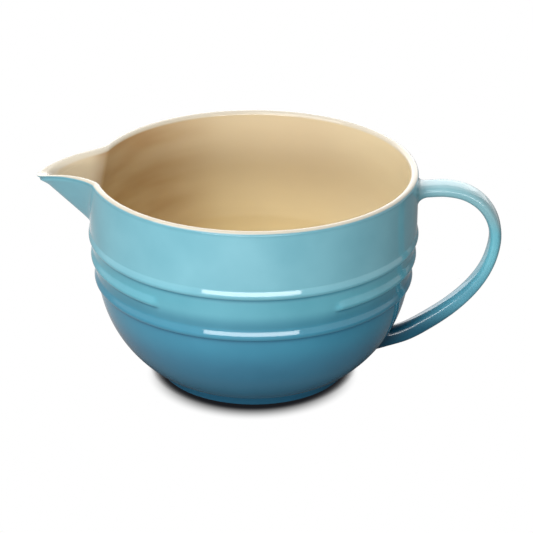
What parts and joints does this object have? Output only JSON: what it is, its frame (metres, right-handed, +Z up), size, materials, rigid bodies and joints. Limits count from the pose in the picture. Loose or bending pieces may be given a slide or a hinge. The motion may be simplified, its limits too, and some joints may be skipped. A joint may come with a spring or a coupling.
{
  "type": "batter bowl",
  "caption": "Glazed stoneware mixing bowl with a pulled pouring spout on one side, a strap handle opposite, stepped bands and a short foot ring.",
  "frame": {"origin": "on the bowl's axis, on the surface the foot ring stands on", "axes": "+Z up along the bowl's axis; +X towards the handle; the spout points along -X"},
  "size_m": [0.2829, 0.2012, 0.1314],
  "materials": {
    "outer_glaze": "glossy turquoise glaze, lighter at the top and deeper towards the foot",
    "liner_glaze": "glossy tan liner glaze",
    "rim_glaze": "glossy off-white, where the glaze breaks thin",
    "foot_glaze": "deep blue glaze on the side, bare stoneware where it stands"
  },
  "bodies": {
    "root": {"bowl_wall": "outer_glaze", "liner_glaze": "liner_glaze", "rim_bead": "rim_glaze", "foot_ring": "foot_glaze", "spout": "outer_glaze", "spout_liner": "liner_glaze", "spout_lip": "rim_glaze", "handle": "outer_glaze"}
  },
  "joints": []
}
